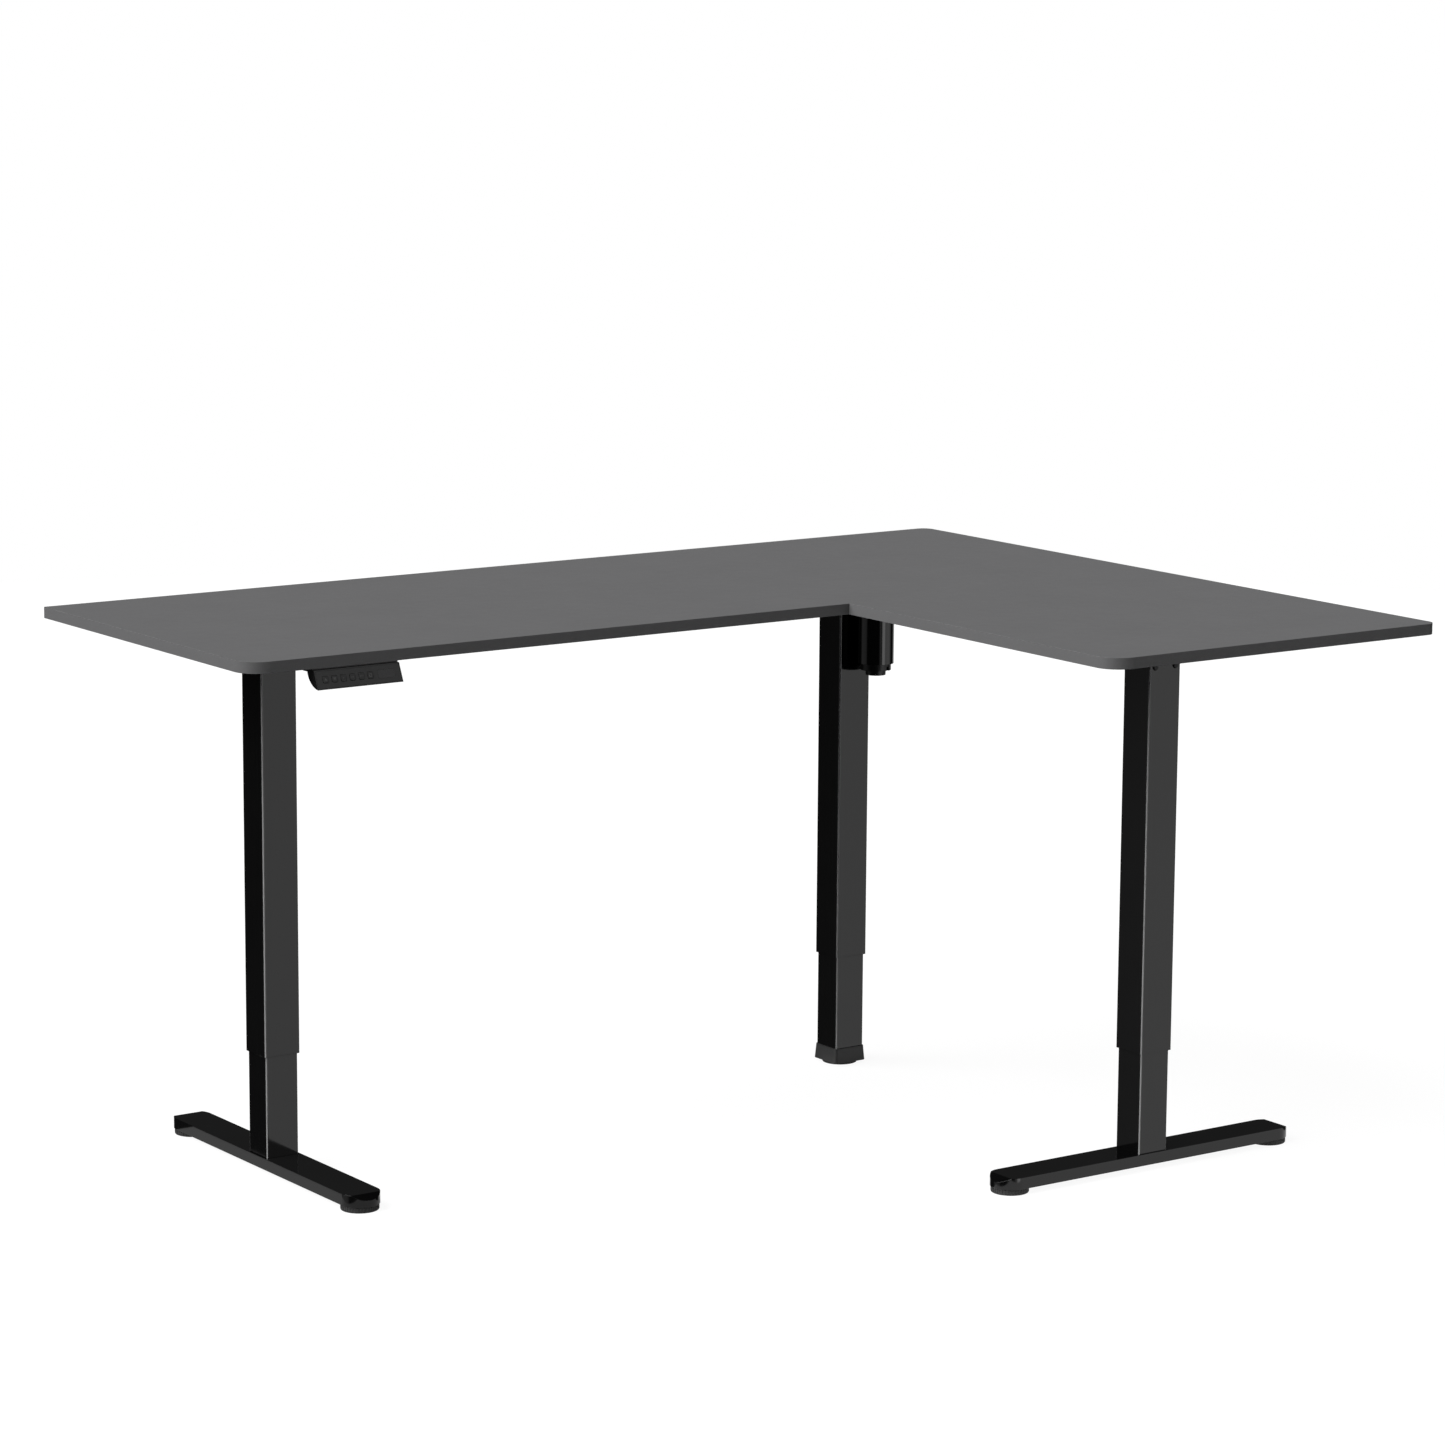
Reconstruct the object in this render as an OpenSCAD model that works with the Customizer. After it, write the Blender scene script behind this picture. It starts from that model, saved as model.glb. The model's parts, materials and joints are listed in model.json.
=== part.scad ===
// L-shaped height adjustable standing desk with three telescopic legs.
// One motor in the middle gearbox turns three hex shafts, and each shaft
// turns a lead screw in its leg. Origin: floor level, centre of the outline.
// +X runs along the main wing, +Y towards the back, +Z up.

/* [Desktop] */
// Length of the main wing
top_w = 1600; // [1500:10:1700]
// Length of the return wing, back edge to front edge
top_d = 1200; // [1150:10:1300]
// Depth of both wings
wing_d = 600; // [580:10:650]
// Thickness of the board
top_t = 16; // [14:1:25]
// Height of the working surface at rest
top_h = 800; // [790:5:820]
// Radius of the two rounded front corners
corner_r = 35; // [20:1:45]
// Radius of the two corners on the right
right_r = 18; // [5:1:45]
// Radius of the back left corner, which is nearly sharp
sharp_r = 3; // [1:1:10]

/* [Leg positions] */
// X of the left leg
left_x = -596; // [-610:1:-580]
// Y of the left leg and of the main drive shaft
main_y = 305; // [295:1:315]
// X of the corner and right legs and of the return drive shaft
return_x = 462.5; // [455:0.5:468]
// Y of the corner leg
corner_y = 366; // [366:0.5:374]
// Y of the right leg
right_y = -373; // [-380:0.5:-365]

/* [Columns] */
// Outside width of the square outer tube
outer_s = 57; // [56.5:0.1:57]
// Wall of the outer tube
outer_wall = 1.5; // [1.2:0.1:1.5]
// Height of the outer tube's lower end at rest
outer_z = 175; // [165:1:185]
// Outside width of the square inner tube
inner_s = 52; // [51:0.1:52]
// Wall of the inner tube
inner_wall = 1.8; // [1.5:0.1:2]
// Height of the inner tube's upper end
inner_top = 643; // [630:1:645]
// Outside corner radius of both tubes
tube_r = 2.5; // [2.5:0.5:6]

/* [Feet] */
// Distance between the two levelling feet of one foot beam
foot_span = 486; // [460:2:500]
// Width of a foot beam
foot_w = 57.5; // [56:0.5:62]
// Height of a foot beam's underside
foot_z = 8.5; // [8.5:0.5:12]
// Height of a foot beam's top
foot_top = 25.4; // [24:0.1:27]
// Radius of a levelling pad
pad_r = 27.5; // [25:0.5:28]
// Ribs around a levelling pad
pad_ribs = 40; // [24:4:48]

/* [Drive] */
// Height of the drive shafts
shaft_z = 760; // [760:1:761]
// Diameter of a lead screw
screw_d = 12; // [10:1:14]
// Lower end of a lead screw
screw_z = 255; // [240:5:260]
// Distance across the corners of a hex shaft
hex_d = 10; // [9:0.5:11]
// Diameter of the motor can
motor_d = 56; // [50:0.2:60]
// Lower end of the motor can
motor_z = 646; // [640:1:655]

/* [Handset] */
// Middle of the handset along the main wing
handset_x = -631; // [-660:1:-600]
// Width of the handset
handset_w = 134; // [124:1:140]
// Number of push buttons
button_count = 6; // [4:1:6]

/* [Hidden] */

$fn = 48;
// overlap that makes a cut pass clean through a face
eps = 0.1;
board_z = top_h - top_t;
x_min = -top_w / 2;
x_max = top_w / 2;
y_min = -top_d / 2;
y_max = top_d / 2;
// edges of the user's bay in the L
bay_x = x_max - wing_d;
bay_y = y_max - wing_d;

// places of the three legs
LEFT = [left_x, main_y, 0];
CORNER = [return_x, corner_y, 0];
RIGHT = [return_x, right_y, 0];

// thickness of the steel plates under the board
plate_t = 3;
plate_z = board_z - plate_t;
flange_t = 2.5;
// half width of a side bracket, outside its flanges
bracket_half = 34.5;
// half length of a side bracket's arms
arm_half = 215;
// depth of the flanges beside the leg and at an arm's end
arm_depth = 20;
arm_tip_depth = 5;
// half length of the middle stretch of a side bracket
head_half = 62;
// reach of the tab that carries the rails
tab_reach = 95;

rail_h = 40;
rail_w = 25;
rail_wall = 1.5;
rail_gap = 0.2;
// distance of each rail from the drive shaft
rail_offset = 42;
rail_z = plate_z - rail_h;
// ends of the rails
main_outer_x = [-250, 395];
main_inner_x = [left_x + bracket_half, -150];
return_outer_y = [0, 285];
return_inner_y = [right_y + bracket_half, 90];
bolt_r = 3;
bolt_head_r = 5;
bolt_head_h = 3;

// gearbox block in the top of each outer tube
box_s = outer_s - 2 * outer_wall - 1;
box_wall = 3;
box_z = 731;
box_floor = 745;
box_top = plate_z - 1;
// screws that hold the gearbox block
side_screw_z = 740;
side_screw_off = 18.5;
side_screw_r = 2.5;
side_screw_head_r = 4.8;
side_screw_head_h = 2.4;

bearing_r = 11;
bearing_h = 7;
run_gap = 0.06;

// gears: module 1, the tooth numbers of each pair
leg_teeth = 20;
pinion_teeth = 16;
crown_teeth = 32;
spur_teeth = 22;
motor_teeth = 10;
leg_gear_r = leg_teeth / 2;
pinion_r = pinion_teeth / 2;
crown_r = crown_teeth / 2;
// distance between the motor's axis and the centre gear's axis
motor_off = (spur_teeth + motor_teeth) / 2;
CENTRE = [return_x, main_y, 0];
MOTOR = [return_x + motor_off, main_y, 0];

centre_half = 26;
centre_box_z = 736;
centre_floor = 739;

hexagon = 6;
nut_h = 28;
guide_h = 6;
guide_gap = 0.35;
glide_h = 40;

handset_tip = 11.5;
handset_h = 28;
handset_back = 17.5;
handset_plate = 30;
handset_ear = 6;
panel_t = 2;
// tilt of the handset's face from upright
face_tilt = atan2(handset_tip, handset_h - 2.5);
face_len = norm([handset_tip, handset_h - 2.5]);
button_w = 9;
button_h = 10;
button_gap = 0.35;
button_pitch = 14;
button_first = 15;
display_w = 26;
display_h = 12;

control_x = -80;
control_y = 470;
control_w = 260;
control_d = 96;
control_h = 38;

// ---------- shared shapes ----------

// Square of side s with round corners of radius r.
module soft_square(s, r) {
    square([s, s - 2 * r], center = true);
    square([s - 2 * r, s], center = true);
    for (x = [-1, 1], y = [-1, 1])
        translate([x * (s / 2 - r), y * (s / 2 - r)])
            circle(r);
}

// Rectangle of size [w, h] with round corners of radius r.
module soft_rect(w, h, r) {
    square([w, h - 2 * r], center = true);
    square([w - 2 * r, h], center = true);
    for (x = [-1, 1], y = [-1, 1])
        translate([x * (w / 2 - r), y * (h / 2 - r)])
            circle(r);
}

// Square tube from z0 to z1.
module square_tube(s, wall, z0, z1) {
    translate([0, 0, z0])
        linear_extrude(z1 - z0)
            difference() {
                soft_square(s, tube_r);
                soft_square(s - 2 * wall, tube_r - wall);
            }
}

// Box between two corners.
module span(low, high) {
    translate(low)
        cube(high - low);
}

// Round bar along Z from z0 to z1.
module bar(r, z0, z1, sides = $fn) {
    translate([0, 0, z0])
        cylinder(r = r, h = z1 - z0, $fn = sides);
}

// Puts its children on a leg and turns them so that local +X points at the rails.
module at_left() {
    translate(LEFT)
        children();
}

module at_right() {
    translate(RIGHT)
        rotate(90)
            children();
}

module at_corner() {
    translate(CORNER)
        rotate(-90)
            children();
}

// Outline of a gear of pitch radius teeth / 2, with a tooth on +X.
function gear_outline(teeth) =
    let (r = teeth / 2, step = 360 / teeth)
    [for (i = [0 : teeth - 1], p = [[-0.27, -1.1], [-0.1, 0.5], [0.1, 0.5], [0.27, -1.1]])
        let (a = (i + p[0]) * step)
        (r + p[1]) * [cos(a), sin(a)]];

// Bevel gear on +Z with its pitch circle at the height -mate_r below the
// apex at the origin. The teeth point at the apex.
module bevel_gear(teeth, mate_r, face, back, phase) {
    height = face * mate_r / norm([mate_r, teeth / 2]);
    translate([0, 0, -mate_r])
        rotate(phase * 180 / teeth) {
            linear_extrude(height, scale = 1 - height / mate_r)
                polygon(gear_outline(teeth));
            translate([0, 0, -back])
                cylinder(r = teeth / 2 - 1, h = back + eps);
        }
}

// ---------- board ----------

// Piece that a round corner of radius r cuts away, for a corner at the origin.
module corner_cut(r) {
    difference() {
        translate([-1, -1])
            square(r + 1);
        translate([r, r])
            circle(r, $fn = 96);
    }
}

// Places of the wood screws under the board.
function board_screws() = concat(
    [for (y = [-200, -130, 130, 200]) LEFT + [0, y, 0]],
    [for (x = [-200, -130, 130, 200]) RIGHT + [x, 0, 0]],
    [for (x = plate_screw_x, y = plate_screw_y) [x, y, 0]],
    [for (x = [-1, 1], y = [-1, 1])
        [control_x + x * (control_w / 2 + 7), control_y + y * 35, 0]],
    [for (x = [-45, 45]) [handset_x + x, bay_y + 24, 0]]
);

// places of the corner plate's screws, and how deep the screws go
plate_screw_x = [318, 522];
plate_screw_y = [215, 385];
screw_bite = 12;

module desktop() {
    color([0.153, 0.153, 0.157])
        difference() {
            translate([0, 0, board_z])
                linear_extrude(top_t)
                    difference() {
                        polygon([
                            [x_min, y_max], [x_max, y_max], [x_max, y_min],
                            [bay_x, y_min], [bay_x, bay_y], [x_min, bay_y]
                        ]);
                        translate([x_min, bay_y])
                            corner_cut(corner_r);
                        translate([bay_x, y_min])
                            corner_cut(corner_r);
                        translate([x_max, y_min])
                            rotate(90)
                                corner_cut(right_r);
                        translate([x_max, y_max])
                            rotate(180)
                                corner_cut(right_r);
                        translate([x_min, y_max])
                            rotate(-90)
                                corner_cut(sharp_r);
                    }
            for (p = board_screws())
                translate(p)
                    bar(2.05, board_z - eps, board_z + screw_bite + 0.3);
        }
}

module desktop_screws() {
    color([0.35, 0.35, 0.36])
        for (p = board_screws())
            translate(p) {
                bar(2, plate_z - eps, board_z + screw_bite);
                translate([0, 0, plate_z - 2.4])
                    cylinder(r1 = 3, r2 = 4.4, h = 2.4);
            }
}

// Clearance holes for the wood screws.
module board_screw_holes() {
    for (p = board_screws())
        translate(p)
            bar(2.3, plate_z - 1, board_z + 1);
}

// ---------- frame under the board ----------

// Rectangular rail along X between two ends, height centred on the rails.
module rail(x0, x1, w, h) {
    mid = rail_z + rail_h / 2;
    difference() {
        span([x0, -w / 2, mid - h / 2], [x1, w / 2, mid + h / 2]);
        span([x0 - 1, rail_wall - w / 2, mid - h / 2 + rail_wall],
            [x1 + 1, w / 2 - rail_wall, mid + h / 2 - rail_wall]);
    }
}

// Two rails either side of the drive shaft, with holes for their bolts.
module rail_pair(x0, x1, w, h, holes) {
    for (side = [-1, 1])
        translate([0, side * rail_offset, 0])
            difference() {
                rail(x0, x1, w, h);
                for (x = holes)
                    translate([x, 0, 0])
                        bar(bolt_r + 0.2, rail_z - 1, plate_z + 1);
            }
}

inner_w = rail_w - 2 * (rail_wall + rail_gap);
inner_h = rail_h - 2 * (rail_wall + rail_gap);
// bolt places along each pair of rails
main_corner_bolts = [346, 380];
main_lock_bolts = [-235, -170];
main_leg_bolts = [left_x + 50, left_x + 80];
return_corner_bolts = [215, 265];
return_lock_bolts = [15, 75];
return_leg_bolts = [right_y + 50, right_y + 80];

// Puts a rail pair drawn along X onto the main or the return line.
module on_main() {
    translate([0, main_y, 0])
        children();
}

module on_return() {
    translate([return_x, 0, 0])
        rotate(90)
            children();
}

module main_rails_outer() {
    color([0.02, 0.02, 0.02])
        on_main()
            rail_pair(main_outer_x[0], main_outer_x[1], rail_w, rail_h,
                concat(main_corner_bolts, main_lock_bolts));
}

module main_rails_inner() {
    color([0.06, 0.06, 0.06])
        on_main()
            rail_pair(main_inner_x[0], main_inner_x[1], inner_w, inner_h,
                concat(main_leg_bolts, main_lock_bolts));
}

module return_rails_outer() {
    color([0.02, 0.02, 0.02])
        on_return()
            rail_pair(return_outer_y[0], return_outer_y[1], rail_w, rail_h,
                concat(return_corner_bolts, return_lock_bolts));
}

module return_rails_inner() {
    color([0.06, 0.06, 0.06])
        on_return()
            rail_pair(return_inner_y[0], return_inner_y[1], inner_w, inner_h,
                concat(return_leg_bolts, return_lock_bolts));
}

// Bolts up through both rails of a pair; the head sits on the face at z0.
module rail_bolt_row(places, z0, z1) {
    for (side = [-1, 1], x = places)
        translate([x, side * rail_offset, 0]) {
            bar(bolt_r, z0 - eps, z1);
            bar(bolt_head_r, z0 - bolt_head_h, z0);
        }
}

module rail_bolts() {
    inner_z = rail_z + rail_wall + rail_gap;
    color([0.1, 0.1, 0.1]) {
        on_main() {
            rail_bolt_row(main_corner_bolts, rail_z, board_z);
            rail_bolt_row(main_lock_bolts, rail_z, plate_z);
            rail_bolt_row(main_leg_bolts, inner_z, board_z);
        }
        on_return() {
            rail_bolt_row(return_corner_bolts, rail_z, board_z);
            rail_bolt_row(return_lock_bolts, rail_z, plate_z);
            rail_bolt_row(return_leg_bolts, inner_z, board_z);
        }
    }
}

// Outline of a bracket flange in its own plane: along the arm, then height.
module flange_outline(depth) {
    polygon([
        [-arm_half, plate_z], [-arm_half, plate_z - arm_tip_depth],
        [-head_half, plate_z - arm_depth], [-head_half, plate_z - depth],
        [head_half, plate_z - depth], [head_half, plate_z - arm_depth],
        [arm_half, plate_z - arm_tip_depth], [arm_half, plate_z]
    ]);
}

// Flange that stands under the plate from x to x + flange_t.
module flange(x, depth) {
    translate([x, 0, 0])
        rotate([90, 0, 90])
            linear_extrude(flange_t)
                flange_outline(depth);
}

// Head plate and support arms of an end leg, drawn with the leg at the origin.
module side_bracket() {
    difference() {
        union() {
            span([-bracket_half, -arm_half, plate_z], [bracket_half, arm_half, board_z]);
            span([0, -head_half, plate_z], [tab_reach, head_half, board_z]);
            flange(-bracket_half, arm_depth);
            flange(bracket_half - flange_t, rail_h);
        }
        translate([0, 0, shaft_z])
            rotate([0, 90, 0])
                cylinder(r = 9, h = bracket_half + 1);
        for (side = [-1, 1], x = [50, 80])
            translate([x, side * rail_offset, 0])
                bar(bolt_r + 0.2, plate_z - 1, board_z + 1);
    }
}

module side_bracket_left() {
    color([0.02, 0.02, 0.02])
        difference() {
            at_left()
                side_bracket();
            board_screw_holes();
        }
}

module side_bracket_right() {
    color([0.02, 0.02, 0.02])
        difference() {
            at_right()
                side_bracket();
            board_screw_holes();
        }
}

module corner_plate() {
    color([0.02, 0.02, 0.02])
        difference() {
            span([300, 195, plate_z], [540, 405, board_z]);
            board_screw_holes();
            on_main()
                for (side = [-1, 1], x = main_corner_bolts)
                    translate([x, side * rail_offset, 0])
                        bar(bolt_r + 0.2, plate_z - 1, board_z + 1);
            on_return()
                for (side = [-1, 1], x = return_corner_bolts)
                    translate([x, side * rail_offset, 0])
                        bar(bolt_r + 0.2, plate_z - 1, board_z + 1);
        }
}

// ---------- columns ----------

// Holes in both side walls for the gearbox screws, drilled along local X.
module side_screw_holes(r, depth) {
    for (end = [-1, 1], y = [-1, 1])
        translate([end * (outer_s / 2 + 1), y * side_screw_off, side_screw_z])
            rotate([0, -90 * end, 0])
                cylinder(r = r, h = depth + 1, $fn = 24);
}

// Hole for the drive shaft on local +X.
module shaft_hole(r) {
    translate([0, 0, shaft_z])
        rotate([0, 90, 0])
            cylinder(r = r, h = outer_s);
}

module outer_tube() {
    color([0.01, 0.01, 0.01])
        difference() {
            square_tube(outer_s, outer_wall, outer_z, plate_z);
            side_screw_holes(side_screw_r + 0.15, 4);
            shaft_hole(8);
        }
}

module outer_tube_left() {
    at_left()
        outer_tube();
}

module outer_tube_corner() {
    at_corner()
        outer_tube();
}

module outer_tube_right() {
    at_right()
        outer_tube();
}

module inner_tube(z0) {
    color([0.015, 0.015, 0.015])
        square_tube(inner_s, inner_wall, z0, inner_top);
}

socket_floor = 13;

module inner_tube_left() {
    at_left()
        inner_tube(foot_top);
}

module inner_tube_corner() {
    at_corner()
        inner_tube(socket_floor);
}

module inner_tube_right() {
    at_right()
        inner_tube(foot_top);
}

// Thin plastic sleeves inside the lower end of each outer tube.
module column_glides() {
    size = outer_s - 2 * outer_wall - 0.1;
    color([0.2, 0.2, 0.2])
        for (leg = [LEFT, CORNER, RIGHT])
            translate(leg + [0, 0, outer_z + 2])
                linear_extrude(glide_h)
                    difference() {
                        soft_square(size, tube_r - outer_wall);
                        soft_square(inner_s + 2 * guide_gap, tube_r + guide_gap);
                    }
}

// Nut plug in the top of the inner tube, with a guide collar above it.
module spindle_nut() {
    plug = inner_s - 2 * inner_wall - 0.2;
    collar = outer_s - 2 * outer_wall - 2 * guide_gap;
    color([0.75, 0.73, 0.68])
        difference() {
            union() {
                translate([0, 0, inner_top - nut_h])
                    linear_extrude(nut_h)
                        soft_square(plug, tube_r - inner_wall);
                translate([0, 0, inner_top])
                    linear_extrude(guide_h)
                        soft_square(collar, tube_r - outer_wall);
            }
            bar(screw_d / 2 + run_gap, inner_top - nut_h - 1, inner_top + guide_h + 1);
        }
}

module spindle_nut_left() {
    at_left()
        spindle_nut();
}

module spindle_nut_corner() {
    at_corner()
        spindle_nut();
}

module spindle_nut_right() {
    at_right()
        spindle_nut();
}

// Lead screw with its bevel gear.
module lead_screw() {
    color([0.55, 0.55, 0.57]) {
        bar(screw_d / 2, screw_z, shaft_z - leg_gear_r);
        translate([0, 0, shaft_z])
            bevel_gear(leg_teeth, leg_gear_r, 6, 8, 0);
    }
}

module lead_screw_left() {
    at_left()
        lead_screw();
}

module lead_screw_corner() {
    at_corner()
        lead_screw();
}

module lead_screw_right() {
    at_right()
        lead_screw();
}

// ---------- drive ----------

// Gearbox block in the top of an outer tube.
module leg_gearbox() {
    color([0.25, 0.25, 0.26])
        difference() {
            translate([0, 0, box_z])
                linear_extrude(box_top - box_z)
                    soft_square(box_s, 2);
            translate([0, 0, box_floor])
                linear_extrude(box_top - box_floor - box_wall)
                    soft_square(box_s - 2 * box_wall, 2);
            bar(bearing_r + 0.05, box_z - 1, box_floor + 1);
            side_screw_holes(side_screw_r + 0.05, 14);
            shaft_hole(8);
        }
}

module leg_gearbox_left() {
    at_left()
        leg_gearbox();
}

module leg_gearbox_corner() {
    at_corner()
        leg_gearbox();
}

module leg_gearbox_right() {
    at_right()
        leg_gearbox();
}

// Hex bar along X at shaft height.
module hex_bar(x0, x1) {
    translate([x0, 0, shaft_z])
        rotate([0, 90, 0])
            cylinder(r = hex_d / 2, h = x1 - x0, $fn = hexagon);
}

// Bevel gear on a shaft along X; dir is the side of the apex that it sits on.
module shaft_gear(apex_x, dir, teeth, mate_r, face, back, phase) {
    translate([apex_x, 0, shaft_z])
        rotate([0, -90 * dir, 0])
            bevel_gear(teeth, mate_r, face, back, phase);
}

// Shaft from a leg at the origin to the centre gearbox, reach mm away on +X.
module drive_shaft(reach) {
    color([0.5, 0.5, 0.52]) {
        hex_bar(leg_gear_r, reach - crown_r);
        shaft_gear(0, 1, leg_teeth, leg_gear_r, 6, 6, 1);
        shaft_gear(reach, -1, pinion_teeth, crown_r, 5, 5, 1);
    }
}

module drive_shaft_main() {
    at_left()
        drive_shaft(return_x - left_x);
}

module drive_shaft_return() {
    at_right()
        drive_shaft(main_y - right_y);
}

module drive_shaft_corner() {
    at_corner()
        drive_shaft(corner_y - main_y);
}

module centre_gearbox() {
    color([0.25, 0.25, 0.26])
        translate(CENTRE)
            difference() {
                span([-centre_half, -centre_half, centre_box_z],
                    [centre_half, centre_half, plate_z]);
                span([box_wall - centre_half, box_wall - centre_half, centre_floor],
                    [centre_half - 2, centre_half - box_wall, plate_z - box_wall]);
                for (turn = [90, 180, 270])
                    rotate(turn)
                        shaft_hole(8);
                translate([motor_off, 0, 0])
                    bar(4, centre_box_z - 1, centre_floor + 1);
            }
}

// Crown gear that turns the three shafts, with the spur gear below it.
module centre_gear() {
    color([0.8, 0.78, 0.7])
        translate(CENTRE) {
            translate([0, 0, shaft_z])
                bevel_gear(crown_teeth, pinion_r, 5, 3, 0);
            translate([0, 0, centre_floor + 1.5])
                linear_extrude(7)
                    polygon(gear_outline(spur_teeth));
            bar(4, centre_floor + 0.4, shaft_z - pinion_r - 1);
        }
}

module motor_can() {
    color([0.01, 0.01, 0.01])
        translate(MOTOR)
            difference() {
                bar(motor_d / 2, motor_z, centre_box_z, 96);
                bar(motor_d / 2 - 2, motor_z - 1, centre_box_z - 3);
                bar(3 + run_gap, motor_z, centre_box_z + 1);
            }
}

module motor_end_cap() {
    cap_r = motor_d * 0.425;
    boss_r = motor_d * 0.28;
    color([0.03, 0.03, 0.03])
        translate(MOTOR)
            difference() {
                union() {
                    bar(motor_d / 2 - 2.1, motor_z, motor_z + 4);
                    bar(cap_r, motor_z - 10.5, motor_z + eps, 96);
                    bar(boss_r, motor_z - 18.5, motor_z - 10, 96);
                }
                // cable notch in the rim of the cap
                rotate(-75)
                    span([boss_r + 2, -2.5, motor_z - 11.5], [cap_r + 1, 2.5, motor_z - 4]);
                bar(3 + run_gap, motor_z - 14, motor_z + 5);
            }
}

// Motor shaft with its pinion.
module motor_pinion() {
    color([0.6, 0.6, 0.62])
        translate(MOTOR) {
            bar(3, motor_z - 12, centre_floor + 2);
            bar(motor_d / 2 - 5, motor_z + 12, centre_box_z - 12);
            translate([0, 0, centre_floor + 1.5])
                rotate(180 / motor_teeth)
                    linear_extrude(6.5)
                        polygon(gear_outline(motor_teeth));
        }
}

// Ball bearings under the leg gears and flanged bushes on the shafts.
module bearings() {
    color([0.65, 0.65, 0.67])
        for (leg = [0 : 2])
            translate([LEFT, CORNER, RIGHT][leg])
                rotate([0, -90, 90][leg]) {
                    translate([0, 0, box_z + 0.5])
                        difference() {
                            cylinder(r = bearing_r, h = bearing_h);
                            bar(screw_d / 2 + run_gap, -1, bearing_h + 1);
                        }
                    translate([box_s / 2 - box_wall, 0, shaft_z])
                        rotate([0, 90, 0])
                            difference() {
                                cylinder(r = 7.9, h = box_wall + 1.5);
                                bar(hex_d / 2 + run_gap, -1, box_wall + 2);
                            }
                }
}

module gearbox_screws() {
    color([0.05, 0.05, 0.05])
        for (leg = [0 : 2])
            translate([LEFT, CORNER, RIGHT][leg])
                rotate([0, -90, 90][leg])
                    for (end = [-1, 1], y = [-1, 1])
                        translate([end * outer_s / 2, y * side_screw_off, side_screw_z])
                            rotate([0, 90 * end, 0]) {
                                cylinder(r1 = side_screw_head_r, r2 = side_screw_head_r - 1.2,
                                    h = side_screw_head_h, $fn = 32);
                                bar(side_screw_r, -11, eps, 24);
                            }
}

// ---------- feet ----------

// Foot beam along local Y, with a half-round end over each levelling pad.
module foot_beam() {
    half = foot_w / 2;
    // where the sloping end facet starts, and how steep it is
    facet_start = 16;
    facet_drop = 7.4;
    facet_angle = atan2(facet_drop, half - facet_start);
    color([0.01, 0.01, 0.01])
        difference() {
            union() {
                span([-half, -foot_span / 2, foot_z], [half, foot_span / 2, foot_top]);
                for (side = [-1, 1])
                    translate([0, side * foot_span / 2, 0])
                        bar(half, foot_z, foot_top, 96);
            }
            for (side = [0, 180])
                rotate(side)
                    translate([-half - 1, foot_span / 2 + facet_start, foot_top])
                        rotate([-facet_angle, 0, 0])
                            cube([foot_w + 2, 3 * half, foot_top]);
            // hollow underside between the solid ends
            span([2.5 - half, 24 - foot_span / 2, foot_z - 1],
                [half - 2.5, foot_span / 2 - 24, foot_top - 2.5]);
            for (side = [-1, 1])
                translate([0, side * foot_span / 2, 0])
                    bar(4 + run_gap, foot_z - 1, foot_top - 2);
            for (x = [-1, 1], y = [-1, 1])
                translate([x * 14, y * 14, 0])
                    bar(3.2, foot_top - 4, foot_top + 1);
        }
}

module foot_beam_left() {
    at_left()
        foot_beam();
}

module foot_beam_right() {
    at_right()
        foot_beam();
}

// Steel plug in the foot end of an inner tube, tapped for the foot bolts.
module leg_base() {
    color([0.3, 0.3, 0.3])
        difference() {
            translate([0, 0, foot_top])
                linear_extrude(8)
                    soft_square(inner_s - 2 * inner_wall - 0.2, tube_r - inner_wall);
            for (x = [-1, 1], y = [-1, 1])
                translate([x * 14, y * 14, 0])
                    bar(3.05, foot_top - 1, foot_top + 9);
        }
}

module leg_base_left() {
    at_left()
        leg_base();
}

module leg_base_right() {
    at_right()
        leg_base();
}

// Four bolts from under the beam into the plug, heads just below the beam.
module foot_bolts() {
    color([0.1, 0.1, 0.1])
        for (x = [-1, 1], y = [-1, 1])
            translate([x * 14, y * 14, 0]) {
                bar(3, foot_z - 1, foot_top + 7);
                bar(6, foot_z - 1.6, foot_top - 2.5);
            }
}

module foot_bolts_left() {
    at_left()
        foot_bolts();
}

module foot_bolts_right() {
    at_right()
        foot_bolts();
}

// Flared plastic foot that the corner leg stands in.
module corner_socket() {
    low = 59.5;
    high = 56;
    socket_z = 4;
    socket_top = 27;
    color([0.03, 0.03, 0.03])
        translate(CORNER)
            difference() {
                translate([0, 0, socket_z])
                    linear_extrude(socket_top - socket_z, scale = high / low)
                        soft_square(low, 6);
                translate([0, 0, socket_floor])
                    linear_extrude(socket_top)
                        difference() {
                            soft_square(inner_s + 0.2, tube_r);
                            circle(10);
                        }
                bar(pad_r + 0.7, socket_z - 1, foot_z);
                bar(4 + run_gap, socket_z, socket_top + 1);
                // the boss around the stud is lower than the rim
                bar(11, 24, socket_top + 1);
            }
}

// Screw-in levelling foot: ribbed pad on a threaded stud.
module levelling_foot(place) {
    pad_h = foot_z - 0.3;
    rib = pad_r - 0.6;
    color([0.04, 0.04, 0.04])
        translate(place) {
            bar(rib, 0, pad_h, 96);
            for (i = [0 : pad_ribs - 1])
                rotate(i * 360 / pad_ribs)
                    span([rib - 1, -0.9, 0.8], [pad_r, 0.9, pad_h - 1.2]);
            bar(4, pad_h - 1, foot_top - 2.4, 32);
        }
}

module levelling_foot_left_front() {
    levelling_foot(LEFT - [0, foot_span / 2, 0]);
}

module levelling_foot_left_back() {
    levelling_foot(LEFT + [0, foot_span / 2, 0]);
}

module levelling_foot_right_inner() {
    levelling_foot(RIGHT - [foot_span / 2, 0, 0]);
}

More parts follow.
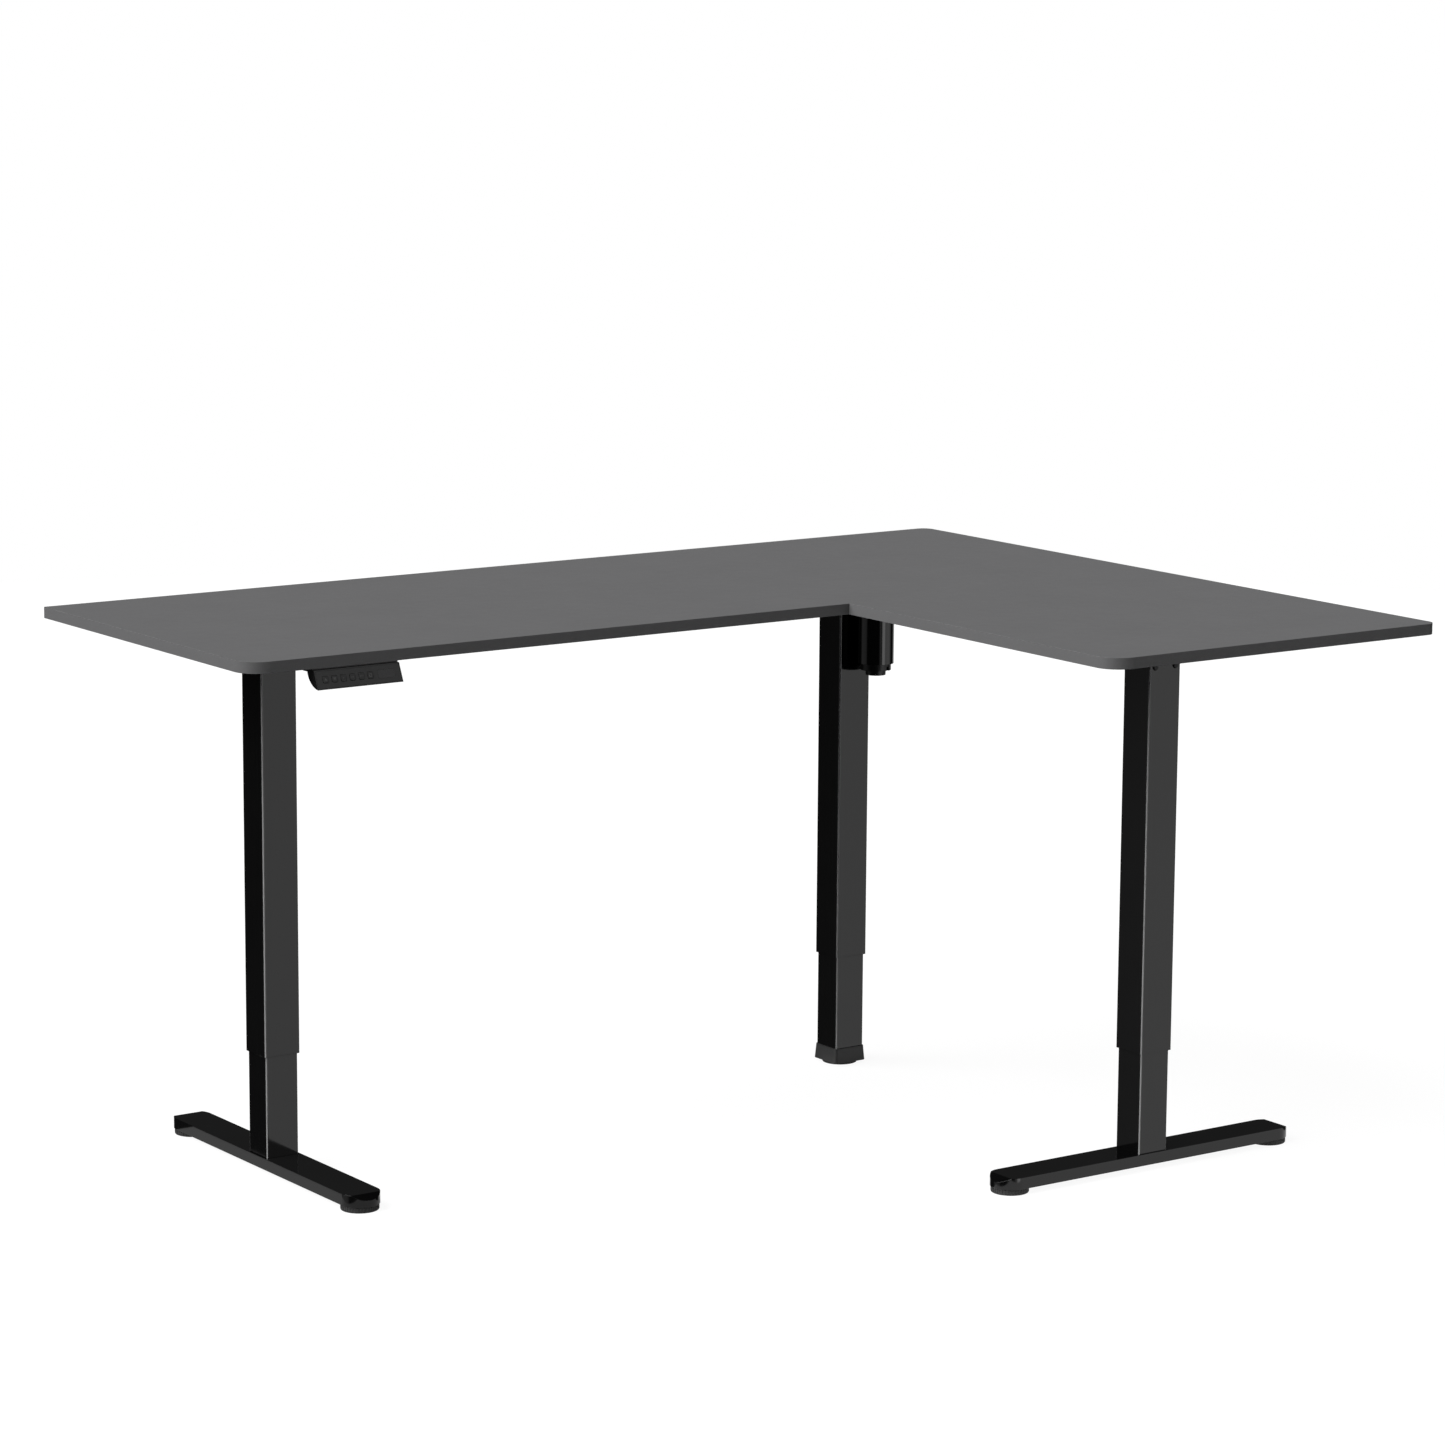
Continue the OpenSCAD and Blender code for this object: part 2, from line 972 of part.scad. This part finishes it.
module levelling_foot_right_outer() {
    levelling_foot(RIGHT + [foot_span / 2, 0, 0]);
}

module levelling_foot_corner() {
    levelling_foot(CORNER);
}

// ---------- handset and electronics ----------

// Puts children on the handset's sloping face: +X along the desk, +Y up the
// face, +Z out of it, from the lower left corner of the face.
module on_face() {
    translate([handset_x - handset_w / 2, bay_y - handset_tip, board_z - handset_h])
        rotate([90 - face_tilt, 0, 0])
            children();
}

function button_x(i) = button_first + i * button_pitch;

// Side profile of the handset: points are [towards the back, below the board].
function handset_profile() = [
    [0, 2.5], [4, 2.5], [4, 0], [handset_plate, 0], [handset_plate, 3], [handset_back, 3],
    [17.2, 7.5], [16.4, 9.6], [15.2, 12.2], [13.7, 14.8], [11.7, 17.2], [9.1, 19.6],
    [6.2, 21.9], [2.6, 24.1], [-2.4, 26.2], [-6.5, 27.3], [-handset_tip, handset_h]
];

module handset_housing() {
    color([0.02, 0.02, 0.02])
        difference() {
            translate([handset_x - handset_w / 2, bay_y, 0])
                rotate([90, 0, 90]) {
                    linear_extrude(handset_w)
                        polygon([for (p = handset_profile()) [p[0], board_z - p[1]]]);
                    // ears that stiffen the plate at both ends
                    for (x = [0, handset_w - 2.5])
                        translate([handset_back - eps, board_z - handset_ear, x])
                            cube([handset_plate - handset_back + eps, handset_ear - 1, 2.5]);
                }
            // seat for the panel and room for the circuit board
            on_face() {
                translate([1.6, 1.6, -panel_t])
                    cube([handset_w - 3.2, face_len - 3.2, 10]);
                translate([4, 7, -7])
                    cube([handset_w - 8, face_len - 11, 10]);
            }
            for (x = [-45, 45])
                translate([handset_x + x, bay_y + 24, 0])
                    bar(2.3, board_z - 4, board_z + 1);
        }
}

module handset_panel() {
    color([0.03, 0.03, 0.03])
        on_face()
            difference() {
                translate([1.7, 1.7, -panel_t + 0.05])
                    cube([handset_w - 3.4, face_len - 3.4, panel_t]);
                for (i = [0 : button_count - 1])
                    translate([button_x(i), face_len / 2, -5])
                        linear_extrude(10)
                            soft_rect(button_w, button_h, 2);
                translate([handset_w - 24, face_len / 2, -5])
                    linear_extrude(10)
                        soft_rect(display_w + 0.2, display_h + 0.2, 1.5);
            }
}

module handset_display() {
    color([0.01, 0.01, 0.012])
        on_face()
            translate([handset_w - 24, face_len / 2, -panel_t + 0.1])
                linear_extrude(panel_t - 0.05)
                    soft_rect(display_w, display_h, 1.5);
}

module handset_button(i) {
    color([0.05, 0.05, 0.05])
        on_face()
            translate([button_x(i), face_len / 2, -2.4])
                linear_extrude(2.9)
                    soft_rect(button_w - 2 * button_gap, button_h - 2 * button_gap, 1.8);
}

module control_box() {
    color([0.03, 0.03, 0.03])
        translate([control_x, control_y, 0])
            difference() {
                union() {
                    translate([0, 0, board_z - control_h])
                        linear_extrude(control_h)
                            soft_rect(control_w, control_d, 6);
                    span([-control_w / 2 - 14, -control_d / 2 + 6, plate_z],
                        [control_w / 2 + 14, control_d / 2 - 6, board_z]);
                }
                span([3 - control_w / 2, 3 - control_d / 2, board_z - control_h + 3],
                    [control_w / 2 - 3, control_d / 2 - 3, board_z - 3]);
                // cut-out for the power inlet
                span([40, control_d / 2 - 8, board_z - 32], [70, control_d / 2 + 1, board_z - 10]);
                for (x = [-1, 1], y = [-1, 1])
                    translate([x * (control_w / 2 + 7), y * 35, 0])
                        bar(2.3, plate_z - 1, board_z + 1);
            }
}

// Mains inlet in the back wall of the control box.
module power_inlet() {
    color([0.08, 0.08, 0.08])
        translate([control_x + 55, control_y + control_d / 2, board_z - 21])
            difference() {
                span([-14.9, -20, -10.9], [14.9, 1.5, 10.9]);
                span([-11.5, -16, -7.5], [11.5, 2, 7.5]);
            }
}

desktop();
desktop_screws();
main_rails_outer();
main_rails_inner();
return_rails_outer();
return_rails_inner();
rail_bolts();
side_bracket_left();
side_bracket_right();
corner_plate();
outer_tube_left();
outer_tube_corner();
outer_tube_right();
inner_tube_left();
inner_tube_corner();
inner_tube_right();
column_glides();
spindle_nut_left();
spindle_nut_corner();
spindle_nut_right();
lead_screw_left();
lead_screw_corner();
lead_screw_right();
leg_gearbox_left();
leg_gearbox_corner();
leg_gearbox_right();
drive_shaft_main();
drive_shaft_return();
drive_shaft_corner();
centre_gearbox();
centre_gear();
motor_can();
motor_end_cap();
motor_pinion();
bearings();
gearbox_screws();
foot_beam_left();
foot_beam_right();
corner_socket();
leg_base_left();
leg_base_right();
foot_bolts_left();
foot_bolts_right();
levelling_foot_left_front();
levelling_foot_left_back();
levelling_foot_right_inner();
levelling_foot_right_outer();
levelling_foot_corner();
handset_housing();
handset_panel();
handset_display();
handset_button(0);  // handset_button_1
handset_button(1);  // handset_button_2
handset_button(2);  // handset_button_3
handset_button(3);  // handset_button_4
handset_button(4);  // handset_button_5
handset_button(5);  // handset_button_6
control_box();
power_inlet();
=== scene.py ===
import json
import math

import bmesh
import bpy
from mathutils import Matrix, Vector


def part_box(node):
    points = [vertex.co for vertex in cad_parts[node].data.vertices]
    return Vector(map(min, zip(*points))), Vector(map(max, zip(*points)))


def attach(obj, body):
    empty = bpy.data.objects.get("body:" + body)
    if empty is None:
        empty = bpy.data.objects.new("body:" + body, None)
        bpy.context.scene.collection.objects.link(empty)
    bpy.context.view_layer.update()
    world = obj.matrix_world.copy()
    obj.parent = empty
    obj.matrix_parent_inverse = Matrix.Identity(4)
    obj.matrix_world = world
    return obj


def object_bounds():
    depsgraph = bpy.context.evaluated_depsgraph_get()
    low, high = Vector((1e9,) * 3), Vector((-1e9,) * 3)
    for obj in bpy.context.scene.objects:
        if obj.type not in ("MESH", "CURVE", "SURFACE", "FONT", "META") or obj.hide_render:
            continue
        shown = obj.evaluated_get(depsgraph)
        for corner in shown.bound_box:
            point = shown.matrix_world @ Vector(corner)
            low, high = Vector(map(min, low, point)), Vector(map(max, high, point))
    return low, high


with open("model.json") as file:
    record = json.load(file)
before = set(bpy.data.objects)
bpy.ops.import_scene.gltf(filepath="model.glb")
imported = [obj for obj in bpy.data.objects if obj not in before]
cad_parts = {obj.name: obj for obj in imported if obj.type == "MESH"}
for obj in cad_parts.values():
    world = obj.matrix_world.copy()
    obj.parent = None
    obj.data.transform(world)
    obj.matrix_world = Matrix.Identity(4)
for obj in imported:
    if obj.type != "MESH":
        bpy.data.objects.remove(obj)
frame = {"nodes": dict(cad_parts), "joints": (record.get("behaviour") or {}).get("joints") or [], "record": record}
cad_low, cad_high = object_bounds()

# The desk's CAD nodes get their finishes here, and its six keys get printed marks. Everything else
# is the studio around it: a floor, soft panels of light given by direction, and the camera.

scene = bpy.context.scene
MM = 0.001


# ---------------------------------------------------------------- materials

def add_node(tree, kind, inputs=None, **settings):
    """A new node, with its settings, and its inputs given by name or number."""
    node = tree.nodes.new(kind)
    for name, value in settings.items():
        setattr(node, name, value)
    for name, value in (inputs or {}).items():
        if isinstance(value, bpy.types.NodeSocket):
            tree.links.new(value, node.inputs[name])
        else:
            node.inputs[name].default_value = value
    return node


# Between the true normal and the one rounded by the bevel: the cosine at an edge, and on a face.
COS_OF_EDGE = 0.8
COS_OF_FACE = 0.99
# The product of a normal's X and Y is 0 on a tube's faces and 0.5 in the middle of its corners; a highlight
# painted on those corners fades in between these two values.
PAINTED_HIGHLIGHT_STARTS = 0.25
PAINTED_HIGHLIGHT_FULL = 0.45


class Paint:
    """A node material whose patterns lie in the desk's frame, in metres."""

    def __init__(self, slot, colour, roughness, metallic=0.0, specular=0.5):
        self.material = bpy.data.materials.new("finish_" + slot)
        self.material.use_nodes = True
        self.tree = self.material.node_tree
        self.shader = self.tree.nodes["Principled BSDF"]
        self.colour = colour
        self.shader.inputs["Base Color"].default_value = (*colour, 1)
        self.shader.inputs["Roughness"].default_value = roughness
        self.shader.inputs["Metallic"].default_value = metallic
        self.shader.inputs["Specular IOR Level"].default_value = specular
        self.place = self.add("ShaderNodeTexCoord").outputs["Object"]

    def add(self, kind, inputs=None, **settings):
        return add_node(self.tree, kind, inputs, **settings)

    def noise(self, size, detail=2.0, stretch=(1, 1, 1)):
        """Soft spots about size metres across, 0 to 1, drawn out along the axes in stretch."""
        drawn_out = {"Vector": self.place, "Scale": [1 / s for s in stretch]}
        place = self.add("ShaderNodeMapping", drawn_out).outputs[0]
        spots = {"Vector": place, "Scale": 1 / size, "Detail": detail}
        return self.add("ShaderNodeTexNoise", spots).outputs["Fac"]

    def pebbles(self, size):
        """Rounded grains about size metres across, as pressed into a laminate or a moulding."""
        grains = {"Vector": self.place, "Scale": 1 / size}
        return self.add("ShaderNodeTexVoronoi", grains, feature="SMOOTH_F1").outputs["Distance"]

    def spread(self, value, low, high, start=0.0, end=1.0):
        """The value, taken from start..end to low..high, and held there outside start..end."""
        node = self.add("ShaderNodeMapRange", {0: value, 1: start, 2: end, 3: low, 4: high})
        return node.outputs[0]

    def times(self, first, second):
        return self.add("ShaderNodeMath", {0: first, 1: second}, operation="MULTIPLY").outputs[0]

    def edges(self, width):
        """1 along outside and inside edges, 0 on open faces."""
        rounded = self.add("ShaderNodeBevel", {"Radius": width}, samples=4)
        plain = self.add("ShaderNodeNewGeometry")
        turned = self.add("ShaderNodeVectorMath", {0: rounded.outputs[0], 1: plain.outputs["Normal"]},
                          operation="DOT_PRODUCT")
        return self.spread(turned.outputs["Value"], 1.0, 0.0, COS_OF_EDGE, COS_OF_FACE)

    def corners(self):
        """1 where the surface turns from X to Y, as the round corners of a square tube do: where a highlight is
        painted along them.
        """
        facing = self.add("ShaderNodeTexCoord").outputs["Normal"]
        facing = self.add("ShaderNodeSeparateXYZ", {0: facing})
        both = self.times(facing.outputs["X"], facing.outputs["Y"])
        both = self.add("ShaderNodeMath", {0: both}, operation="ABSOLUTE").outputs[0]
        return self.spread(both, 0.0, 1.0, PAINTED_HIGHLIGHT_STARTS, PAINTED_HIGHLIGHT_FULL)

    def tint(self, other, mask):
        """Goes from the colour so far to the other one where the mask is 1."""
        base = self.shader.inputs["Base Color"]
        mix = self.add("ShaderNodeMix", {0: mask, 7: (*other, 1)}, data_type="RGBA")
        if base.links:
            self.tree.links.new(base.links[0].from_socket, mix.inputs[6])
        else:
            mix.inputs[6].default_value = (*self.colour, 1)
        self.tree.links.new(mix.outputs[2], base)

    def roughen(self, value, low, high):
        self.tree.links.new(self.spread(value, low, high), self.shader.inputs["Roughness"])

    def relief(self, height, depth, round_edges=0.0):
        """Raises the surface by depth metres where height is 1, and rounds its edges."""
        node = self.add("ShaderNodeBump", {"Strength": 1.0, "Distance": depth, "Height": height})
        if round_edges:
            rounded = self.add("ShaderNodeBevel", {"Radius": round_edges}, samples=6)
            self.tree.links.new(rounded.outputs[0], node.inputs["Normal"])
        self.tree.links.new(node.outputs[0], self.shader.inputs["Normal"])


def laminate(slot):
    """Matt grey melamine: fine pebbled press texture, faint clouding and specks, rubbed edges."""
    paint = Paint(slot, (0.128, 0.128, 0.130), 0.6, specular=0.15)
    paint.tint((0.117, 0.117, 0.119), paint.noise(0.09, 3))
    specks = paint.spread(paint.noise(0.0011, 1), 0, 0.5, 0.62, 0.75)
    paint.tint((0.17, 0.17, 0.17), specks)
    worn = paint.times(paint.edges(0.8 * MM), paint.noise(0.012))
    paint.tint((0.16, 0.16, 0.16), worn)
    paint.roughen(paint.noise(0.02, 4), 0.55, 0.68)
    paint.relief(paint.pebbles(0.9 * MM), 0.03 * MM, 0.6 * MM)
    return paint.material


def powder_coat(slot, corners=0.0):
    """Glossy black powder coat with a faint orange peel and greyer worn edges; given corners, a painted highlight
    of that grey along its round corners.
    """
    paint = Paint(slot, (0.0020, 0.0020, 0.0021), 0.1)
    paint.tint((0.0032, 0.0032, 0.0032), paint.noise(0.05))
    # Painted highlight: the round corners are lightened to the grey given by corners, in place of their gloss.
    if corners:
        paint.tint((corners, corners, corners), paint.corners())
    worn = paint.times(paint.edges(0.5 * MM), paint.spread(paint.noise(0.006, 3), 0, 0.5, 0.45, 0.8))
    paint.tint((0.03, 0.03, 0.03), worn)
    paint.roughen(paint.noise(0.03, 4), 0.06, 0.13)
    paint.relief(paint.noise(3.2 * MM, 1), 0.006 * MM, 0.7 * MM)
    return paint.material


def motor_paint(slot):
    """Black enamel on the motor's drawn steel can, with fine marks along its axis."""
    paint = Paint(slot, (0.004, 0.004, 0.0042), 0.12)
    paint.tint((0.007, 0.007, 0.007), paint.noise(0.02))
    paint.roughen(paint.noise(0.9 * MM, 2, (1, 1, 30)), 0.07, 0.15)
    paint.relief(paint.noise(2.4 * MM, 1, (1, 1, 6)), 0.004 * MM, 0.6 * MM)
    return paint.material


def black_oxide(slot):
    """Oiled black steel of the bolts, with bare metal showing on its edges."""
    paint = Paint(slot, (0.018, 0.018, 0.019), 0.35, metallic=0.6)
    worn = paint.times(paint.edges(0.3 * MM), paint.noise(1.5 * MM))
    paint.tint((0.12, 0.12, 0.12), worn)
    paint.roughen(paint.noise(1.2 * MM, 3), 0.25, 0.45)
    paint.relief(paint.noise(0.5 * MM, 2), 0.01 * MM)
    return paint.material


def zinc_plate(slot):
    """Bright zinc on the wood screws, slightly clouded."""
    paint = Paint(slot, (0.58, 0.59, 0.62), 0.3, metallic=1.0)
    paint.tint((0.46, 0.47, 0.48), paint.noise(2 * MM, 3))
    paint.roughen(paint.noise(0.8 * MM, 3), 0.2, 0.4)
    paint.relief(paint.noise(0.4 * MM, 2), 0.008 * MM)
    return paint.material


def bright_steel(slot):
    """Turned and drawn steel of the gears, shafts and bearings, with a film of grease."""
    paint = Paint(slot, (0.50, 0.50, 0.51), 0.25, metallic=1.0)
    paint.tint((0.34, 0.33, 0.31), paint.noise(5 * MM, 3))
    paint.roughen(paint.noise(0.35 * MM, 3, (12, 12, 1)), 0.15, 0.38)
    paint.relief(paint.noise(0.3 * MM, 2, (12, 12, 1)), 0.006 * MM)
    return paint.material


def cast_aluminium(slot):
    """Die-cast gearbox: grainy skin with brighter rubbed edges."""
    paint = Paint(slot, (0.42, 0.42, 0.43), 0.5, metallic=0.9)
    paint.tint((0.33, 0.33, 0.34), paint.noise(6 * MM, 4))
    paint.tint((0.60, 0.60, 0.61), paint.times(paint.edges(0.5 * MM), paint.noise(2 * MM)))
    paint.roughen(paint.noise(1 * MM, 3), 0.4, 0.6)
    paint.relief(paint.noise(0.8 * MM, 3), 0.04 * MM)
    return paint.material


def moulded(slot, colour, rough, grain=0.5 * MM, depth=0.015 * MM, soften=0.5 * MM, specular=0.5):
    """Moulded plastic or rubber: spark-eroded grain, slight clouding, polished high edges."""
    paint = Paint(slot, colour, rough, specular=specular)
    paint.tint([c * 1.25 for c in colour], paint.noise(8 * MM, 2))
    paint.tint([c * 1.5 + 0.004 for c in colour], paint.times(paint.edges(0.3 * MM), paint.noise(2 * MM)))
    paint.roughen(paint.noise(3 * MM, 3), rough - 0.06, rough + 0.06)
    paint.relief(paint.pebbles(grain), depth, soften)
    return paint.material


def dark_window(slot):
    """The handset's unlit display: smoked, glossy plastic with a few hair marks."""
    paint = Paint(slot, (0.005, 0.005, 0.006), 0.24)
    paint.tint((0.009, 0.009, 0.010), paint.noise(4 * MM))
    paint.roughen(paint.noise(0.3 * MM, 2, (10, 1, 1)), 0.20, 0.28)
    paint.relief(paint.noise(5 * MM, 1), 0.003 * MM)
    return paint.material


def finishes():
    """One material for each of the record's slots, by the slot's name."""
    made = {"board": laminate("board")}
    made["frame"] = powder_coat("frame")
    # The tube's round corners get a painted highlight of grey 0.35.
    made["tube"] = powder_coat("tube", corners=0.35)
    made["motor_case"] = motor_paint("motor_case")
    made["black_screw"] = black_oxide("black_screw")
    made["zinc_screw"] = zinc_plate("zinc_screw")
    made["steel"] = bright_steel("steel")
    made["cast"] = cast_aluminium("cast")
    made["nylon"] = moulded("nylon", (0.62, 0.60, 0.55), 0.45)
    made["moulding"] = moulded("moulding", (0.007, 0.007, 0.0075), 0.38)
    made["pad"] = moulded("pad", (0.026, 0.026, 0.026), 0.5)
    made["handset"] = moulded("handset", (0.006, 0.006, 0.0062), 0.30)
    made["button"] = moulded("button", (0.007, 0.007, 0.0072), 0.36, grain=0.3 * MM)
    made["display"] = dark_window("display")
    made["print"] = moulded("print", (0.06, 0.06, 0.06), 0.5, grain=0.2 * MM, depth=0.005 * MM, soften=0)
    return made


def paint_nodes(made):
    """Gives every CAD node the finish of its material slot in the record."""
    slots = {part["node"]: part["material_slot"] for part in frame["record"]["subparts"]}
    for name, node in frame["nodes"].items():
        for place in node.material_slots:
            place.material = made[slots[name]]


# ------------------------------------------------- printed marks on the keys

def up_arrow():
    return [[(-0.3, -0.2), (0.3, -0.2), (0, 0.3)]]


def down_arrow():
    return [[(-0.3, 0.2), (0, -0.3), (0.3, 0.2)]]


def dots(count):
    """A row of round dots, one for each stored height."""
    rings = []
    for i in range(count):
        middle = (i - (count - 1) / 2) * 0.24
        angles = [k * math.tau / 16 for k in range(16)]
        rings.append([(middle + 0.08 * math.cos(a), 0.08 * math.sin(a)) for a in angles])
    return rings


def store_mark():
    """A small square frame for the key that stores a height."""
    outer, inner = 0.26, 0.17
    return [[(-outer, s * inner), (outer, s * inner), (outer, s * outer), (-outer, s * outer)][::s]
            for s in (1, -1)] + [
           [(s * inner, -inner), (s * outer, -inner), (s * outer, inner), (s * inner, inner)][::s]
            for s in (1, -1)]


def key_mark(number, rings, ink):
    """A thin printed mark on the middle of a key's face, moving with the key."""
    key = frame["nodes"][f"handset_button_{number}"]
    joint = next(j for j in frame["joints"] if j["name"] == f"button_{number}_press")
    out = -Vector(joint["axis"]).normalized()
    side = Vector((1, 0, 0))
    up = out.cross(side)
    face = max(out.dot(v.co) for v in key.data.vertices)
    on_face = [v.co for v in key.data.vertices if out.dot(v.co) > face - 0.05 * MM]
    middle = sum(on_face, Vector()) / len(on_face)
    size = max(side.dot(p) for p in on_face) - min(side.dot(p) for p in on_face)
    shape = bmesh.new()
    for ring in rings:
        corners = [middle + side * (x * size) + up * (y * size) for x, y in ring]
        base = shape.faces.new([shape.verts.new(p - out * 0.02 * MM) for p in corners])
        raised = bmesh.ops.extrude_face_region(shape, geom=[base])["geom"]
        tops = [g for g in raised if isinstance(g, bmesh.types.BMVert)]
        bmesh.ops.translate(shape, verts=tops, vec=out * 0.06 * MM)
    bmesh.ops.recalc_face_normals(shape, faces=shape.faces)
    mesh = bpy.data.meshes.new(f"key_mark_{number}")
    shape.to_mesh(mesh)
    shape.free()
    mark = bpy.data.objects.new(f"key_mark_{number}", mesh)
    mesh.materials.append(ink)
    scene.collection.objects.link(mark)
    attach(mark, f"button_{number}")


def key_marks(ink):
    for number, rings in enumerate([up_arrow(), down_arrow(), dots(1), dots(2), dots(3), store_mark()], 1):
        key_mark(number, rings, ink)


# ------------------------------------------------------------------- studio

# Panels that are not at the horizon: heading and height in degrees, the angle out to which the
# panel is even, the angle at which it has faded away, and its brightness.
HIGH_PANELS = [
    (172, 42, 24, 37, 5.75),    # key, high on the left
    (0, 90, 25, 50, 0.35),      # overhead fill
    (310, 29, 12, 24, 0.78),    # front right, for the handset's face
    (55, 18, 20, 40, 0.02),     # faint one behind the desk
]
# Upright panels in a narrow band just below the horizon, which the legs mirror: heading, even
# angle, faded angle and brightness.
LOW_PANELS = [
    (300, 12, 48, 0.95),        # front right
    (284, 5, 12, 1.3),          # bright strip at its edge
    (152, 10, 28, 0.25),        # faint one, back left
    (45, 14, 44, 0.9),          # back right, for the far sides
]
BAND_HEIGHT = -10
# Half the band's height as a sine, out to where it is even and to where it has faded away.
BAND_EVEN = 0.12
BAND_FADED = 0.19
AMBIENT = 0.015

FLOOR_RADIUS = 6
FLOOR_LEVEL = -0.5 * MM
PATCH_LEVEL = -0.2 * MM


def direction(heading, height):
    """Unit vector for a heading, counter-clockwise from +X, and a height above the horizon."""
    a, h = math.radians(heading), math.radians(height)
    return Vector((math.cos(a) * math.cos(h), math.sin(a) * math.cos(h), math.sin(h)))


def studio_light():
    """White for the camera, and soft panels by direction for the light on the desk."""
    world = bpy.data.worlds.new("studio")
    world.use_nodes = True
    scene.world = world
    tree = world.node_tree

    def add(kind, inputs=None, **settings):
        return add_node(tree, kind, inputs, **settings)

    def maths(operation, first, second=0.0):
        return add("ShaderNodeMath", {0: first, 1: second}, operation=operation).outputs[0]

    def fade(value, dark, bright, most=1.0):
        ramp = {0: value, 1: dark, 2: bright, 4: most}
        return add("ShaderNodeMapRange", ramp, interpolation_type="SMOOTHSTEP").outputs[0]

    def panel(aim, towards, even, faded, brightness):
        along = add("ShaderNodeVectorMath", {0: aim, 1: towards}, operation="DOT_PRODUCT")
        dark, bright = math.cos(math.radians(faded)), math.cos(math.radians(even))
        return fade(along.outputs["Value"], dark, bright, brightness)

    aim = add("ShaderNodeTexCoord").outputs["Generated"]
    level = add("ShaderNodeVectorMath", {0: aim, 1: (1, 1, 0)}, operation="MULTIPLY").outputs[0]
    level = add("ShaderNodeVectorMath", {0: level}, operation="NORMALIZE").outputs[0]
    rise = add("ShaderNodeSeparateXYZ", {0: aim}).outputs["Z"]
    off = maths("ABSOLUTE", maths("SUBTRACT", rise, math.sin(math.radians(BAND_HEIGHT))))
    low = 0.0
    for heading, *shape in LOW_PANELS:
        low = maths("ADD", panel(level, direction(heading, 0), *shape), low)
    low = maths("MULTIPLY", low, fade(off, BAND_FADED, BAND_EVEN))
    total = maths("ADD", low, AMBIENT)
    for heading, height, *shape in HIGH_PANELS:
        total = maths("ADD", panel(aim, direction(heading, height), *shape), total)
    room = tree.nodes["Background"]
    room.inputs["Color"].default_value = (1, 1, 1, 1)
    tree.links.new(total, room.inputs["Strength"])
    white = add("ShaderNodeBackground", {"Color": (1, 1, 1, 1), "Strength": 1.0})
    seen = add("ShaderNodeLightPath").outputs["Is Camera Ray"]
    choice = add("ShaderNodeMixShader", {0: seen, 1: room.outputs[0], 2: white.outputs[0]})
    tree.links.new(choice.outputs[0], tree.nodes["World Output"].inputs["Surface"])


def sheet(name, corners, paint):
    """A flat stage piece with the given corners."""
    shape = bmesh.new()
    shape.faces.new([shape.verts.new(p) for p in corners])
    mesh = bpy.data.meshes.new(name)
    shape.to_mesh(mesh)
    shape.free()
    mesh.materials.append(paint)
    piece = bpy.data.objects.new(name, mesh)
    scene.collection.objects.link(piece)
    return piece


def glow(name, colour, brightness):
    """A pale matt surface that also gives off some light, so that only a soft shadow shows on it."""
    material = bpy.data.materials.new(name)
    material.use_nodes = True
    shader = material.node_tree.nodes["Principled BSDF"]
    shader.inputs["Base Color"].default_value = colour
    shader.inputs["Roughness"].default_value = 1.0
    shader.inputs["Specular IOR Level"].default_value = 0.0
    shader.inputs["Emission Color"].default_value = (1, 1, 1, 1)
    shader.inputs["Emission Strength"].default_value = brightness
    return material


def floor():
    """A pale floor that the camera sees, round and larger than the view."""
    middle = (cad_low + cad_high) / 2
    rim = [k * math.tau / 96 for k in range(96)]
    corners = [(middle.x + FLOOR_RADIUS * math.cos(a), middle.y + FLOOR_RADIUS * math.sin(a), FLOOR_LEVEL)
               for a in rim]
    piece = sheet("floor", corners, glow("floor_pale", (0.12, 0.12, 0.12, 1), 0.93))
    piece.visible_glossy = False
    piece.visible_diffuse = False


def bounce(name, node, left, front, right, brightness):
    """A pale patch of floor by one foot, which only shows in the foot's gloss. It goes past the
    node's box by left, front and right metres."""
    low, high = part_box(node)
    west, south, east, north = low.x - left, low.y - front, high.x + right, high.y
    corners = [(x, y, PATCH_LEVEL) for x, y in ((west, south), (east, south), (east, north), (west, north))]
    piece = sheet(name, corners, glow(name + "_pale", (0, 0, 0, 1), brightness))
    piece.visible_camera = False
    piece.visible_diffuse = False
    piece.visible_shadow = False


def camera():
    """The camera, looking across the desk from its front left, with a slight roll."""
    heading, down, roll = 54.9963, 10.0921, math.radians(0.3787)
    place = Matrix.Translation((-3.75555, -5.32779, 1.80328))
    ahead = direction(heading, -down)
    level = direction(heading - 90, 0)
    upright = level.cross(ahead)
    right = level * math.cos(roll) + upright * math.sin(roll)
    up = upright * math.cos(roll) - level * math.sin(roll)
    lens = bpy.data.cameras.new("camera")
    lens.sensor_width = 36
    lens.lens = 114.60
    eye = bpy.data.objects.new("camera", lens)
    scene.collection.objects.link(eye)
    eye.matrix_world = place @ Matrix((right, up, -ahead)).transposed().to_4x4()
    scene.camera = eye


def main():
    camera()
    studio_light()
    floor()
    bounce("floor_by_left_foot", "foot_beam_left", 0.045, 0.07, 0.04, 0.5)
    bounce("floor_by_right_foot", "foot_beam_right", 0.045, 0.07, 0.06, 0.85)
    bounce("floor_by_corner_foot", "corner_socket", 0.03, 0.05, 0.04, 0.5)
    scene.view_settings.view_transform = "Standard"
    made = finishes()
    paint_nodes(made)
    key_marks(made["print"])


main()
